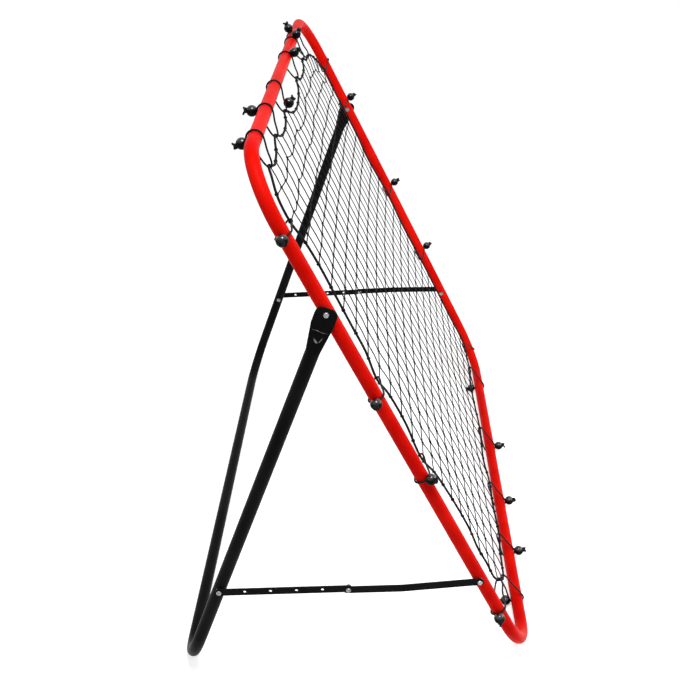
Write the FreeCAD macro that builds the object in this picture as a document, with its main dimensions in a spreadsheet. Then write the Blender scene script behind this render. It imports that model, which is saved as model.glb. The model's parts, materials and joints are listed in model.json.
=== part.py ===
import FreeCAD, Part
import math
import os
import Sketcher

# Pitch back rebounder: a leaning bent-tube frame with a net on ball bungees, a rear leg that folds
# on two pivot bolts, and a pair of flat stays on each side that hold the leg open.
# Origin on the floor under the pivot line. +X to the front, +Y to the right, +Z up.

Vector = FreeCAD.Vector
Rotation = FreeCAD.Rotation
Placement = FreeCAD.Placement

doc = FreeCAD.newDocument("Rebounder")
sheet = doc.addObject("Spreadsheet::Sheet", "Sizes")

sizes = {
    "frameWidth": 1260,  # side tube to side tube, centre to centre
    "frameLength": 1125,  # bottom tube axis to top tube axis
    "leanAngle": 23.3,  # of the frame, and of the leg the other way
    "tubeDiameter": 25,
    "tubeWall": 1.2,
    "frameBend": 112,  # corner radii at the tube axis
    "footBend": 105,
    "pivotReach": 855,  # bottom tube axis to pivot
    "stayDrop": 617,  # pivot to stay bolt along each tube
    "rimAboveStay": 14,  # tube joint to stay bolt
    "neckDepth": 46,  # swaged neck inside the lower tube
    "neckClearance": 0.1,
    "shoulderLength": 4,
    "flatTip": 12,  # flattened tube past the pivot
    "flatBelow": 20,  # flattened tube below the pivot
    "flatCorner": 13,
    "crushLength": 45,  # flat to round
    "crushSlot": 0.2,  # left between the crushed walls
    "dimpleBelow": 7,  # the creased hollow under the flat end
    "dimpleWidth": 14,
    "dimpleLength": 16,
    "dimpleDepth": 0.8,
    "washerThickness": 1.2,
    "washerDiameter": 14,
    "sidePlay": 0.6,  # beside parts that turn
    "boltDiameter": 6,
    "boltHoleClearance": 0.5,
    "runningClearance": 0.05,
    "headDiameter": 10,
    "headHeight": 3.6,
    "nutWidth": 10,
    "nutHeight": 5,
    "threadEnd": 2,  # bolt past its nut
    "stayWidth": 15,
    "stayThickness": 2.5,
    "stayEnd": 10,  # front stay past the middle bolt
    "stayHoles": 6,  # in the rear stay, evenly spaced
    "stayGap": 0.3,  # between the two stays
    "stepStart": 14,  # the front stay's step outwards, from its bolt
    "stepLength": 130,
    "cordThickness": 3.5,
    "cordGap": 0.3,
    "ropeThickness": 4.5,
    "ropeBend": 24,
    "sideInset": 75,  # frame tube axis to net border
    "topInset": 48,
    "bottomInset": 72,
    "meshAcross": 50,
    "meshAlong": 46,
    "twineThickness": 1.8,
    "ballDiameter": 21,
    "ballSeat": 0.4,
    "hangInward": 38.5,  # the ball that hangs on its loop, from the tube's axis
    "hangFront": 12,
    "loopBelowStay": 91,  # the lowest side loop, from the front stay's bolt
}
for row, (name, value) in enumerate(sizes.items(), 1):
    sheet.set(f"A{row}", name)
    sheet.set(f"B{row}", str(value))
    sheet.setAlias(f"B{row}", name)
doc.recompute()


def size(name):
    return float(sheet.get(name))


# Where each bungee loop holds the net, in meshes from the net's middle, and where its ball sits,
# in degrees round the tube from the side away from the net towards the front. The balls marked
# back rest just above the floor, and the hanging one has slid down its loop.
topLoops = [(7.18, 0), (5.9, 60), (2.6, 85), (-2.8, "hanging"), (-6.3, -60), (-9.64, -85)]
bottomLoops = [(8.68, "back"), (2.36, 75), (-2.36, 75), (-6.06, 75), (-9.04, "back")]
leftLoops = [(9.27, 0), (2.14, 0), (-1.86, 0), ("below stay", 0)]
rightLoops = [(9.14, 0), (6.56, 60), (0.66, 75), (-4.08, 70), ("corner", -15)]

lean = math.radians(size("leanAngle"))
tubeRadius = size("tubeDiameter") / 2
frameHalf = size("frameWidth") / 2
cord = size("cordThickness")

# The bottom tube stands on the cords under it, so the leg is longer by their thickness.
bottomHeight = tubeRadius + size("cordGap") + cord
legReach = size("pivotReach") + (bottomHeight - tubeRadius) / math.cos(lean)
pivotHeight = bottomHeight + size("pivotReach") * math.cos(lean)

up = Vector(-math.sin(lean), 0, math.cos(lean))  # along the frame
front = Vector(math.cos(lean), 0, math.sin(lean))  # out of the net
legUp = Vector(math.sin(lean), 0, math.cos(lean))  # along the leg
legFront = Vector(math.cos(lean), 0, -math.sin(lean))
across = Vector(0, 1, 0)
pivot = Vector(0, 0, pivotHeight)
bottom = pivot - up * size("pivotReach")
foot = pivot - legUp * legReach
frontStayBolt = pivot - up * size("stayDrop")
rearStayBolt = pivot - legUp * size("stayDrop")
middleBolt = (frontStayBolt + rearStayBolt) * 0.5
stayHalf = size("stayDrop") * math.sin(lean)
rimDrop = size("stayDrop") - size("rimAboveStay")

# Outward from each frame tube's axis: washer, leg, stays.
seatOut = tubeRadius + size("washerThickness") + size("sidePlay")
legOut = seatOut + tubeRadius
toeAngle = math.atan(legOut / legReach)
legOutAtStay = legOut * (1 - size("stayDrop") / legReach)
rearStayOut = legOutAtStay + tubeRadius + size("washerThickness") + size("sidePlay")
frontStayOut = rearStayOut + size("stayThickness") + size("stayGap")
stayRise = frontStayOut - seatOut

# The same lengths as expressions, for what is bound to the sheet.
legReachText = (
    "(Sizes.pivotReach + (Sizes.cordThickness + Sizes.cordGap) / cos(Sizes.leanAngle * 1 deg))"
)
legOutText = "(Sizes.tubeDiameter + Sizes.washerThickness + Sizes.sidePlay)"
stayHalfText = "Sizes.stayDrop * sin(Sizes.leanAngle * 1 deg)"
stayRiseText = (
    f"({legOutText} * (1 - Sizes.stayDrop / {legReachText}) + Sizes.stayThickness + Sizes.stayGap)"
)


def frameOf(x, y, z, base):
    """A placement whose axes are the three given directions."""
    turn = FreeCAD.Matrix(x.x, y.x, z.x, 0, x.y, y.y, z.y, 0, x.z, y.z, z.z, 0, 0, 0, 0, 1)
    return Placement(base, Rotation(turn))


def newBody(label):
    body = doc.addObject("PartDesign::Body", label)
    body.Label = label
    return body


def originPlane(body, role):
    return [item for item in body.Origin.OriginFeatures if item.Role == role][0]


def newSketch(body, name, role, offset=0):
    sketch = body.newObject("Sketcher::SketchObject", name)
    sketch.AttachmentSupport = (originPlane(body, role), [""])
    sketch.MapMode = "FlatFace"
    sketch.AttachmentOffset = Placement(Vector(0, 0, offset), Rotation())
    return sketch


def bound(sketch, constraint, expression):
    index = sketch.addConstraint(constraint)
    sketch.setExpression(f"Constraints[{index}]", expression)
    return index


def boundCircle(sketch, x, y, radius, expressions):
    """A circle whose centre and radius follow three expressions."""
    circle = sketch.addGeometry(Part.Circle(Vector(x, y, 0), Vector(0, 0, 1), radius), False)
    for kind, value, expression in zip(("DistanceX", "DistanceY"), (x, y), expressions):
        if expression == "0":
            axis = -2 if kind == "DistanceX" else -1
            sketch.addConstraint(Sketcher.Constraint("PointOnObject", circle, 3, axis))
        else:
            bound(sketch, Sketcher.Constraint(kind, -1, 1, circle, 3, value), expression)
    bound(sketch, Sketcher.Constraint("Radius", circle, radius), expressions[2])
    return circle


def boundOutline(sketch, corners):
    """A closed outline of straight lines; each corner is (x, y, expression for x, expression for y)."""
    first = sketch.GeometryCount
    for start, end in zip(corners, corners[1:] + corners[:1]):
        line = Part.LineSegment(Vector(start[0], start[1], 0), Vector(end[0], end[1], 0))
        sketch.addGeometry(line, False)
    count = len(corners)
    for index, corner in enumerate(corners):
        last = first + (index - 1) % count
        sketch.addConstraint(Sketcher.Constraint("Coincident", last, 2, first + index, 1))
        for kind, value, expression in zip(("DistanceX", "DistanceY"), corner[:2], corner[2:]):
            if expression == "0":
                axis = -2 if kind == "DistanceX" else -1
                sketch.addConstraint(Sketcher.Constraint("PointOnObject", first + index, 1, axis))
            else:
                bound(sketch, Sketcher.Constraint(kind, -1, 1, first + index, 1, value), expression)


def addPad(body, sketch, name, expression, midplane=False):
    pad = body.newObject("PartDesign::Pad", name)
    pad.Profile = sketch
    pad.Midplane = midplane
    pad.setExpression("Length", expression)
    return pad


def addBore(body, sketch, name):
    """A hole right through the body, both ways from the sketch."""
    pocket = body.newObject("PartDesign::Pocket", name)
    pocket.Profile = sketch
    pocket.Type = "ThroughAll"
    pocket.Midplane = True
    return pocket


def bentTube(body, halfEnds, halfBase, height, bend, expressions):
    """A U of tube: open ends on the local X axis, base at the given height, even corner radii.
    The expressions give the ends' half spacing, the base's half length between bends, the height
    and the bend radius."""
    slope = math.atan((halfEnds - halfBase) / height)
    reach = halfBase - bend * math.tan(math.pi / 4 - slope / 2)
    path = newSketch(body, "Path", "XY_Plane")
    turn = math.degrees(slope)
    centre = Vector(reach, height - bend, 0)
    out = Vector(math.cos(slope), math.sin(slope), 0) * bend

    def corner(side):
        middle = Vector(centre.x * side, centre.y, 0)
        circle = Part.Circle(middle, Vector(0, 0, 1), bend)
        if side < 0:
            return Part.ArcOfCircle(circle, math.pi / 2, math.pi - slope)
        return Part.ArcOfCircle(circle, slope, math.pi / 2)

    bendTop = Vector(centre.x + out.x, centre.y + out.y, 0)
    path.addGeometry(
        [
            Part.LineSegment(Vector(-halfEnds, 0, 0), Vector(-bendTop.x, bendTop.y, 0)),
            corner(-1),
            Part.LineSegment(Vector(-reach, height, 0), Vector(reach, height, 0)),
            corner(1),
            Part.LineSegment(bendTop, Vector(halfEnds, 0, 0)),
        ],
        False,
    )
    for names in (
        ("Horizontal", 2),
        ("Tangent", 0, 2, 1, 2),
        ("Tangent", 1, 1, 2, 1),
        ("Tangent", 2, 2, 3, 2),
        ("Tangent", 3, 1, 4, 1),
        ("Equal", 1, 3),
        ("PointOnObject", 0, 1, -1),
        ("Symmetric", 0, 1, 4, 2, -2),
    ):
        path.addConstraint(Sketcher.Constraint(*names))
    ends, base, tall, radius, splay = expressions
    bound(path, Sketcher.Constraint("DistanceX", 0, 1, 4, 2, 2 * halfEnds), f"2 * ({ends})")
    bound(path, Sketcher.Constraint("DistanceX", -1, 1, 2, 1, -reach), f"-({base})")
    bound(path, Sketcher.Constraint("DistanceX", -1, 1, 2, 2, reach), base)
    bound(path, Sketcher.Constraint("DistanceY", -1, 1, 2, 1, height), tall)
    bound(path, Sketcher.Constraint("Radius", 1, bend), radius)

    ring = newSketch(body, "Ring", "XZ_Plane")
    ring.AttachmentOffset = Placement(Vector(-halfEnds, 0, 0), Rotation(Vector(0, 1, 0), -turn))
    ring.setExpression("AttachmentOffset.Base.x", f"-({ends})")
    if turn:
        ring.setExpression("AttachmentOffset.Rotation.Angle", f"-({splay})")
    inner = tubeRadius - size("tubeWall")
    boundCircle(ring, 0, 0, tubeRadius, ("0", "0", "Sizes.tubeDiameter / 2"))
    boundCircle(ring, 0, 0, inner, ("0", "0", "Sizes.tubeDiameter / 2 - Sizes.tubeWall"))
    pipe = body.newObject("PartDesign::AdditivePipe", "Tube")
    pipe.Profile = ring
    pipe.Spine = (path, [])
    return pipe


# Shares of the shoulder's length and of the wall where the swage starts to round over.
shoulderStart = 0.3
shoulderRound = 0.35
neckOverlap = 0.5  # of a swaged end into its tube, in mm, before the two are fused


def neckCorners(axisX, axisExpression, top, topExpression):
    """Half section of a tube end swaged down to a neck that slips into the next tube. The shoulder
    ends at local height 0 and the rim that it seats on lies a shoulder's length below."""
    outer = tubeRadius
    wall = size("tubeWall")
    neck = outer - wall - size("neckClearance")
    shoulder = size("shoulderLength")
    depth = size("neckDepth")
    outerX = "Sizes.tubeDiameter / 2"
    neckX = f"{outerX} - Sizes.tubeWall - Sizes.neckClearance"

    def point(radius, radiusExpression, height, heightExpression):
        return (
            axisX + radius,
            height,
            f"{axisExpression}{radiusExpression}",
            heightExpression,
        )

    return [
        point(outer, outerX, top, topExpression),
        point(
            outer,
            outerX,
            -shoulder * shoulderStart,
            f"-Sizes.shoulderLength * {shoulderStart}",
        ),
        point(
            outer - wall * shoulderRound,
            f"{outerX} - Sizes.tubeWall * {shoulderRound}",
            -shoulder,
            "-Sizes.shoulderLength",
        ),
        point(neck, neckX, -shoulder, "-Sizes.shoulderLength"),
        point(neck, neckX, -shoulder - depth, "-Sizes.shoulderLength - Sizes.neckDepth"),
        point(
            neck - wall,
            f"{neckX} - Sizes.tubeWall",
            -shoulder - depth,
            "-Sizes.shoulderLength - Sizes.neckDepth",
        ),
        point(neck - wall, f"{neckX} - Sizes.tubeWall", -shoulder, "-Sizes.shoulderLength"),
        point(outer - wall, f"{outerX} - Sizes.tubeWall", top, topExpression),
    ]


def makeUpperFrameTube():
    """The upper U of the frame, with swaged necks at its two ends."""
    body = newBody("upper_frame_tube")
    height = size("frameLength") - size("pivotReach") + rimDrop - size("shoulderLength")
    above = "Sizes.stayDrop - Sizes.rimAboveStay - Sizes.shoulderLength"
    tall = f"Sizes.frameLength - Sizes.pivotReach + {above}"
    half = "Sizes.frameWidth / 2"
    bend = size("frameBend")
    expressions = (half, f"{half} - Sizes.frameBend", tall, "Sizes.frameBend", None)
    bentTube(body, frameHalf, frameHalf, height, bend, expressions)
    necks = newSketch(body, "Neck", "XY_Plane")
    corners = neckCorners(-frameHalf, f"-{half} + ", neckOverlap, f"{neckOverlap} mm")
    boundOutline(necks, corners)
    depth = size("neckDepth")
    axis = necks.addGeometry(
        Part.LineSegment(Vector(-frameHalf, 0, 0), Vector(-frameHalf, -depth, 0)), True
    )
    necks.addConstraint(Sketcher.Constraint("Vertical", axis))
    bound(necks, Sketcher.Constraint("DistanceX", -1, 1, axis, 1, -frameHalf), f"-{half}")
    necks.addConstraint(Sketcher.Constraint("PointOnObject", axis, 1, -1))
    bound(necks, Sketcher.Constraint("DistanceY", axis, 2, axis, 1, depth), "Sizes.neckDepth")
    turn = body.newObject("PartDesign::Revolution", "SwagedNeck")
    turn.Profile = necks
    turn.ReferenceAxis = (necks, ["Axis0"])
    turn.Angle = 360
    mirror = body.newObject("PartDesign::Mirrored", "SecondNeck")
    mirror.Originals = [turn]
    mirror.MirrorPlane = (originPlane(body, "YZ_Plane"), [""])
    body.Tip = mirror
    bores = newSketch(body, "BoltHoles", "YZ_Plane")
    radius = (size("boltDiameter") + size("boltHoleClearance")) / 2
    radiusText = "(Sizes.boltDiameter + Sizes.boltHoleClearance) / 2"
    pivotUp = rimDrop - size("shoulderLength")
    stayDown = -size("rimAboveStay") - size("shoulderLength")
    boundCircle(bores, pivotUp, 0, radius, (above, "0", radiusText))
    boundCircle(
        bores, stayDown, 0, radius, ("-Sizes.rimAboveStay - Sizes.shoulderLength", "0", radiusText)
    )
    body.Tip = addBore(body, bores, "Bores")
    base = pivot - up * (rimDrop - size("shoulderLength"))
    body.Placement = frameOf(across, up, front, base)
    return body


def makeLowerFrameTube():
    """The lower U of the frame; its open ends take the upper tube's necks."""
    body = newBody("lower_frame_tube")
    height = size("pivotReach") - rimDrop
    tall = "Sizes.pivotReach - Sizes.stayDrop + Sizes.rimAboveStay"
    half = "Sizes.frameWidth / 2"
    bend = size("frameBend")
    expressions = (half, f"{half} - Sizes.frameBend", tall, "Sizes.frameBend", None)
    bentTube(body, frameHalf, frameHalf, height, bend, expressions)
    bores = newSketch(body, "BoltHoles", "YZ_Plane")
    radius = (size("boltDiameter") + size("boltHoleClearance")) / 2
    radiusText = "(Sizes.boltDiameter + Sizes.boltHoleClearance) / 2"
    boundCircle(bores, size("rimAboveStay"), 0, radius, ("Sizes.rimAboveStay", "0", radiusText))
    body.Tip = addBore(body, bores, "Bores")
    body.Placement = frameOf(across * -1, up * -1, front, pivot - up * rimDrop)
    return body


def makeRearFootTube():
    """The U that the leg stands on. Its stubs splay outwards, in line with the leg tubes."""
    body = newBody("rear_foot_tube")
    height = legReach - rimDrop
    ends = frameHalf + height * math.tan(toeAngle)
    bend = size("footBend")
    tall = f"{legReachText} - Sizes.stayDrop + Sizes.rimAboveStay"
    slope = f"atan({legOutText} / {legReachText})"
    endText = f"Sizes.frameWidth / 2 + ({tall}) * {legOutText} / {legReachText}"
    baseText = f"Sizes.frameWidth / 2 - Sizes.footBend * tan(45 deg - {slope} / 2)"
    bentTube(body, ends, frameHalf, height, bend, (endText, baseText, tall, "Sizes.footBend", slope))
    bores = newSketch(body, "BoltHoles", "YZ_Plane")
    radius = (size("boltDiameter") + size("boltHoleClearance")) / 2
    radiusText = "(Sizes.boltDiameter + Sizes.boltHoleClearance) / 2"
    boundCircle(bores, size("rimAboveStay"), 0, radius, ("Sizes.rimAboveStay", "0", radiusText))
    body.Tip = addBore(body, bores, "Bores")
    body.Placement = frameOf(across * -1, legUp * -1, legFront, pivot - legUp * rimDrop)
    return body


def roundSection(radius, middle, drop, spread):
    """A circle in four arcs whose ends match the flattened section's corners."""
    angles = [-spread, spread, math.pi - spread, math.pi + spread]

    def at(angle):
        return Vector(radius * math.cos(angle), middle + radius * math.sin(angle), drop)

    edges = []
    for index, angle in enumerate(angles):
        end = angles[(index + 1) % 4] + (2 * math.pi if index == 3 else 0)
        edges.append(Part.Arc(at(angle), at((angle + end) / 2), at(end)).toShape())
    return Part.Wire(edges)


def flatSection(width, thickness, middle, drop):
    """A flattened tube's section: two straight walls joined by small rounds."""
    half = width / 2 - thickness / 2
    edge = thickness / 2
    corners = ((half, -edge), (half, edge), (-half, edge), (-half, -edge))
    points = [Vector(x, middle + y, drop) for x, y in corners]
    right = Part.Arc(points[0], Vector(half + edge, middle, drop), points[1]).toShape()
    left = Part.Arc(points[2], Vector(-half - edge, middle, drop), points[3]).toShape()
    outerWall = Part.makeLine(points[1], points[2])
    innerWall = Part.makeLine(points[3], points[0])
    return Part.Wire([right, outerWall, left, innerWall])


crushSpread = 32  # degrees of the round section that go into each edge of the flat one


def crushedEnd():
    """The tube's upper end pressed flat against its inner side, in the leg's own frame: the pivot at
    the origin, the inner side at y = 0, the tube running down along -Z."""
    wall = size("tubeWall")
    slot = size("crushSlot")
    thickness = 2 * wall + slot
    width = math.pi * (size("tubeDiameter") - wall) / 2 + wall
    roundAt = -size("flatBelow") - size("crushLength")
    spread = math.radians(crushSpread)
    outer = [
        roundSection(tubeRadius, tubeRadius, roundAt, spread),
        flatSection(width, thickness, thickness / 2, -size("flatBelow")),
    ]
    inner = [
        roundSection(tubeRadius - wall, tubeRadius, roundAt, spread),
        flatSection(width - 2 * wall, slot, thickness / 2, -size("flatBelow")),
    ]
    crush = Part.makeLoft(outer, True).cut(Part.makeLoft(inner, True))
    tip = size("flatTip")
    corner = size("flatCorner")
    side = width / 2
    tongue = Part.Face(outer[1]).extrude(Vector(0, 0, size("flatBelow") + tip))

    # The tongue's two upper corners are rounded by what is left of a box round them.
    low = tip - corner
    deep = thickness + 2
    cutter = Part.makeBox(width + 2, deep, corner + 1, Vector(-side - 1, -1, low))
    left = Part.makeCylinder(corner, deep, Vector(corner - side, -1, low), Vector(0, 1, 0))
    right = Part.makeCylinder(corner, deep, Vector(side - corner, -1, low), Vector(0, 1, 0))
    between = Part.makeBox(width - 2 * corner, deep, corner, Vector(corner - side, -1, low))
    tongue = tongue.cut(cutter.cut(left.fuse([right, between])))
    return crush.fuse(tongue).cut(creaseHollow(thickness))


def creaseHollow(thickness):
    """The three-sided hollow that the press leaves in the outer wall under the flat end."""
    rise = (size("tubeDiameter") - thickness) / size("crushLength")

    def onWall(x, drop):
        return Vector(x, thickness + rise * drop, -size("flatBelow") - drop)

    begin = size("dimpleBelow")
    half = size("dimpleWidth") / 2
    length = size("dimpleLength")
    deep = onWall(0, begin + length / 4) - Vector(0, size("dimpleDepth"), 0)
    rim = [onWall(-half, begin), onWall(half, begin), onWall(0, begin + length)]
    left, right, low = (deep + (point - deep) * 2 for point in rim)
    faces = [(deep, left, right), (deep, right, low), (deep, low, left), (left, low, right)]
    return Part.makeSolid(Part.makeShell([Part.Face(Part.makePolygon([*face, face[0]])) for face in faces]))


def makeLegTube(label, side):
    """One upper leg tube: crushed flat at the pivot, swaged where it enters the foot tube."""
    outward = across * side
    lift = Rotation(legFront, -side * math.degrees(toeAngle))
    legZ = lift.multVec(legUp)
    legY = lift.multVec(outward)
    seat = frameHalf + legOut - tubeRadius / math.cos(toeAngle)
    place = frameOf(legY.cross(legZ), legY, legZ, pivot + outward * seat)
    legLength = rimDrop / math.cos(toeAngle) - tubeRadius * math.tan(toeAngle) - size("shoulderLength")
    roundAt = size("flatBelow") + size("crushLength")

    body = newBody(label + "_shaft")
    section = newSketch(body, "Section", "XZ_Plane")
    long = (
        f"(Sizes.stayDrop - Sizes.rimAboveStay) / cos(atan({legOutText} / {legReachText}))"
        f" - Sizes.tubeDiameter / 2 * {legOutText} / {legReachText}"
        " - Sizes.shoulderLength - Sizes.flatBelow - Sizes.crushLength"
    )
    boundOutline(section, neckCorners(0, "", legLength - roundAt, long))
    turn = body.newObject("PartDesign::Revolution", "Shaft")
    turn.Profile = section
    turn.ReferenceAxis = (section, ["V_Axis"])
    turn.Angle = 360
    body.Placement = Placement(Vector(0, tubeRadius, -legLength), Rotation())

    end = doc.addObject("Part::Feature", label + "_crushed_end")
    end.Shape = crushedEnd()
    whole = doc.addObject("Part::Fuse", label + "_whole")
    whole.Base = body
    whole.Tool = end

    # Both holes run along the pivot line, not square to the splayed leg.
    back = place.inverse()
    holes = doc.addObject("Part::Fuse", label + "_holes")
    tools = []
    for name, drop, clearance in (
        ("_pivot_hole", 0, "Sizes.runningClearance * 2"),
        ("_stay_hole", size("stayDrop"), "Sizes.boltHoleClearance"),
    ):
        hole = doc.addObject("Part::Cylinder", label + name)
        hole.setExpression("Radius", f"(Sizes.boltDiameter + {clearance}) / 2")
        hole.setExpression("Height", "Sizes.tubeDiameter * 4")
        start = pivot - legUp * drop + outward * (frameHalf - size("tubeDiameter") * 2)
        hole.Placement = back.multiply(frameOf(legFront, outward.cross(legFront), outward, start))
        tools.append(hole)
    holes.Base, holes.Tool = tools
    leg = doc.addObject("Part::Cut", label)
    leg.Label = label
    leg.Base = whole
    leg.Tool = holes
    leg.Placement = place
    return leg


def stayOutline(body, end, endText):
    """A bar's outline with full-round ends: its first hole at the local origin, the middle bolt at the
    stay's length."""
    outline = newSketch(body, "Outline", "XY_Plane")
    half = size("stayWidth") / 2
    centre = Vector(stayHalf + end - half, 0, 0)
    startCircle = Part.Circle(Vector(0, 0, 0), Vector(0, 0, 1), half)
    endCircle = Part.Circle(centre, Vector(0, 0, 1), half)
    outline.addGeometry(
        [
            Part.ArcOfCircle(startCircle, math.pi / 2, 3 * math.pi / 2),
            Part.LineSegment(Vector(0, -half, 0), Vector(centre.x, -half, 0)),
            Part.ArcOfCircle(endCircle, -math.pi / 2, math.pi / 2),
            Part.LineSegment(Vector(centre.x, half, 0), Vector(0, half, 0)),
        ],
        False,
    )
    for names in (
        ("Coincident", 0, 3, -1, 1),
        ("Tangent", 0, 2, 1, 1),
        ("Tangent", 1, 2, 2, 1),
        ("Tangent", 2, 2, 3, 1),
        ("Tangent", 3, 2, 0, 1),
        ("PointOnObject", 2, 3, -1),
    ):
        outline.addConstraint(Sketcher.Constraint(*names))
    bound(outline, Sketcher.Constraint("Radius", 0, half), "Sizes.stayWidth / 2")
    ends = f"{stayHalfText} + {endText} - Sizes.stayWidth / 2"
    bound(outline, Sketcher.Constraint("DistanceX", -1, 1, 2, 3, centre.x), ends)
    return outline


def addHoleRow(body, count):
    """Bolt holes from the local origin to the middle bolt, evenly spaced."""
    first = newSketch(body, "FirstHole", "XY_Plane")
    radius = size("boltDiameter") / 2 + size("runningClearance")
    boundCircle(first, 0, 0, radius, ("0", "0", "Sizes.boltDiameter / 2 + Sizes.runningClearance"))
    bore = addBore(body, first, "Hole")
    body.Tip = bore
    row = body.newObject("PartDesign::LinearPattern", "HoleRow")
    row.Originals = [bore]
    row.Direction = (first, ["H_Axis"])
    row.setExpression("Length", stayHalfText)
    row.Occurrences = count
    body.Tip = row


def makeRearStay(label, side):
    """The flat bar from the leg, with spare holes for other leg angles."""
    body = newBody(label)
    outline = stayOutline(body, size("stayWidth") / 2, "Sizes.stayWidth / 2")
    addPad(body, outline, "Bar", "Sizes.stayThickness")
    doc.recompute()
    addHoleRow(body, int(size("stayHoles")))
    outward = across * side
    along = Vector(1, 0, 0)
    start = rearStayBolt + outward * (frameHalf + rearStayOut)
    body.Placement = frameOf(along, outward.cross(along), outward, start)
    return body


def makeFrontStay(label, side):
    """The bar from the frame: flat on the tube at its bolt, then stepped outwards so that it lies
    flat on the other bar at the middle bolt."""
    blank = newBody(label + "_blank")
    outline = stayOutline(blank, size("stayEnd"), "Sizes.stayEnd")
    addPad(blank, outline, "Blank", "Sizes.stayWidth * 4", True)
    doc.recompute()
    addHoleRow(blank, 2)

    step = newBody(label + "_step")
    profile = newSketch(step, "SideView", "XZ_Plane")
    thick = size("stayThickness")
    begin, finish = size("stepStart"), size("stepStart") + size("stepLength")
    finishText = "Sizes.stepStart + Sizes.stepLength"
    far = stayHalf + size("stayWidth")
    farText = f"{stayHalfText} + Sizes.stayWidth"
    near = -size("stayWidth")
    boundOutline(
        profile,
        [
            (near, 0, "-Sizes.stayWidth", "0"),
            (begin, 0, "Sizes.stepStart", "0"),
            (finish, stayRise, finishText, stayRiseText),
            (far, stayRise, farText, stayRiseText),
            (far, stayRise + thick, farText, f"{stayRiseText} + Sizes.stayThickness"),
            (finish, stayRise + thick, finishText, f"{stayRiseText} + Sizes.stayThickness"),
            (begin, thick, "Sizes.stepStart", "Sizes.stayThickness"),
            (near, thick, "-Sizes.stayWidth", "Sizes.stayThickness"),
        ],
    )
    addPad(step, profile, "Strip", "Sizes.stayWidth * 2", True)
    stay = doc.addObject("Part::Common", label)
    stay.Label = label
    stay.Base = blank
    stay.Tool = step
    outward = across * side
    along = Vector(-1, 0, 0)
    start = frontStayBolt + outward * (frameHalf + seatOut)
    stay.Placement = frameOf(along, outward.cross(along), outward, start)
    return stay


# A bolt head's rim, shoulder and crown, as shares of its radius and height.
headRim = 0.3
headShoulder = (0.8, 0.75)
headCrown = 0.4


def makeBolt(name, length):
    """A domed-head bolt: shank down along -Z from the head's seat at the origin."""
    body = newBody(name)
    section = newSketch(body, "Section", "XZ_Plane")
    radius = size("boltDiameter") / 2
    head = size("headDiameter") / 2
    tall = size("headHeight")
    headText = "Sizes.headDiameter / 2"
    corners = [(0, -length, "0", f"{-length} mm")]
    corners.append((radius, -length, "Sizes.boltDiameter / 2", f"{-length} mm"))
    corners.append((radius, 0, "Sizes.boltDiameter / 2", "0"))
    corners.append((head, 0, headText, "0"))
    corners.append((head, tall * headRim, headText, f"Sizes.headHeight * {headRim}"))
    wide, high = headShoulder
    corners.append((head * wide, tall * high, f"{headText} * {wide}", f"Sizes.headHeight * {high}"))
    corners.append((head * headCrown, tall, f"{headText} * {headCrown}", "Sizes.headHeight"))
    corners.append((0, tall, "0", "Sizes.headHeight"))
    boundOutline(section, corners)
    turn = body.newObject("PartDesign::Revolution", "Bolt")
    turn.Profile = section
    turn.ReferenceAxis = (section, ["V_Axis"])
    turn.Angle = 360
    return body


def makeNut():
    body = newBody("nut")
    outline = newSketch(body, "Hexagon", "XY_Plane")
    corner = size("nutWidth") / math.sqrt(3)
    text = "Sizes.nutWidth / sqrt(3)"
    corners = []
    for index in range(6):
        angle = math.radians(60 * index)
        corners.append(
            (
                corner * math.cos(angle),
                corner * math.sin(angle),
                f"{text} * cos({60 * index} deg)",
                "0" if index % 3 == 0 else f"{text} * sin({60 * index} deg)",
            )
        )
    boundOutline(outline, corners)
    boundCircle(
        outline,
        0,
        0,
        size("boltDiameter") / 2 + size("runningClearance"),
        ("0", "0", "Sizes.boltDiameter / 2 + Sizes.runningClearance"),
    )
    addPad(body, outline, "Nut", "Sizes.nutHeight")
    return body


def makeWasher():
    body = newBody("washer")
    rings = newSketch(body, "Rings", "XY_Plane")
    inner = (size("boltDiameter") + size("boltHoleClearance")) / 2
    boundCircle(rings, 0, 0, size("washerDiameter") / 2, ("0", "0", "Sizes.washerDiameter / 2"))
    boundCircle(rings, 0, 0, inner, ("0", "0", "(Sizes.boltDiameter + Sizes.boltHoleClearance) / 2"))
    addPad(body, rings, "Washer", "Sizes.washerThickness")
    return body


def stadium(small, large, reach, thickness):
    """A slab round two circles, the large one at the origin and the small one at the reach along +Y,
    its sides tangent to both."""
    lift = math.asin((large - small) / reach)
    side = Vector(math.cos(lift), math.sin(lift), 0)
    other = Vector(-side.x, side.y, 0)
    centre = Vector(0, reach, 0)
    under = Part.Arc(other * large, Vector(0, -large, 0), side * large).toShape()
    over = Part.Arc(centre + side * small, centre + Vector(0, small, 0), centre + other * small).toShape()
    right = Part.makeLine(side * large, centre + side * small)
    left = Part.makeLine(centre + other * small, other * large)
    face = Part.Face(Part.Wire([under, right, over, left]))
    face.translate(Vector(0, 0, -thickness / 2))
    return face.extrude(Vector(0, 0, thickness))


def loopBand(inset):
    """A cord looped round the tube at the origin and the net's border at the inset along +Y."""
    small = size("ropeThickness") / math.sqrt(2) + size("cordGap")
    large = tubeRadius + size("cordGap")
    return stadium(small + cord, large + cord, inset, cord).cut(stadium(small, large, inset, 2 * cord))


def ballCentre(turn, sense):
    """Where a loop's ball sits, in the loop's own frame, and which way its outer side faces."""
    away = tubeRadius + size("ballSeat") + size("ballDiameter") / 2
    if turn == "hanging":
        return Vector(sense * size("hangFront"), size("hangInward"), 0), (1 - sense) * 90
    if turn == "back":
        turn = groundTurn()
    angle = math.radians(sense * turn)
    return Vector(math.sin(angle) * away, -math.cos(angle) * away, 0), sense * turn - 90


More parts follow.
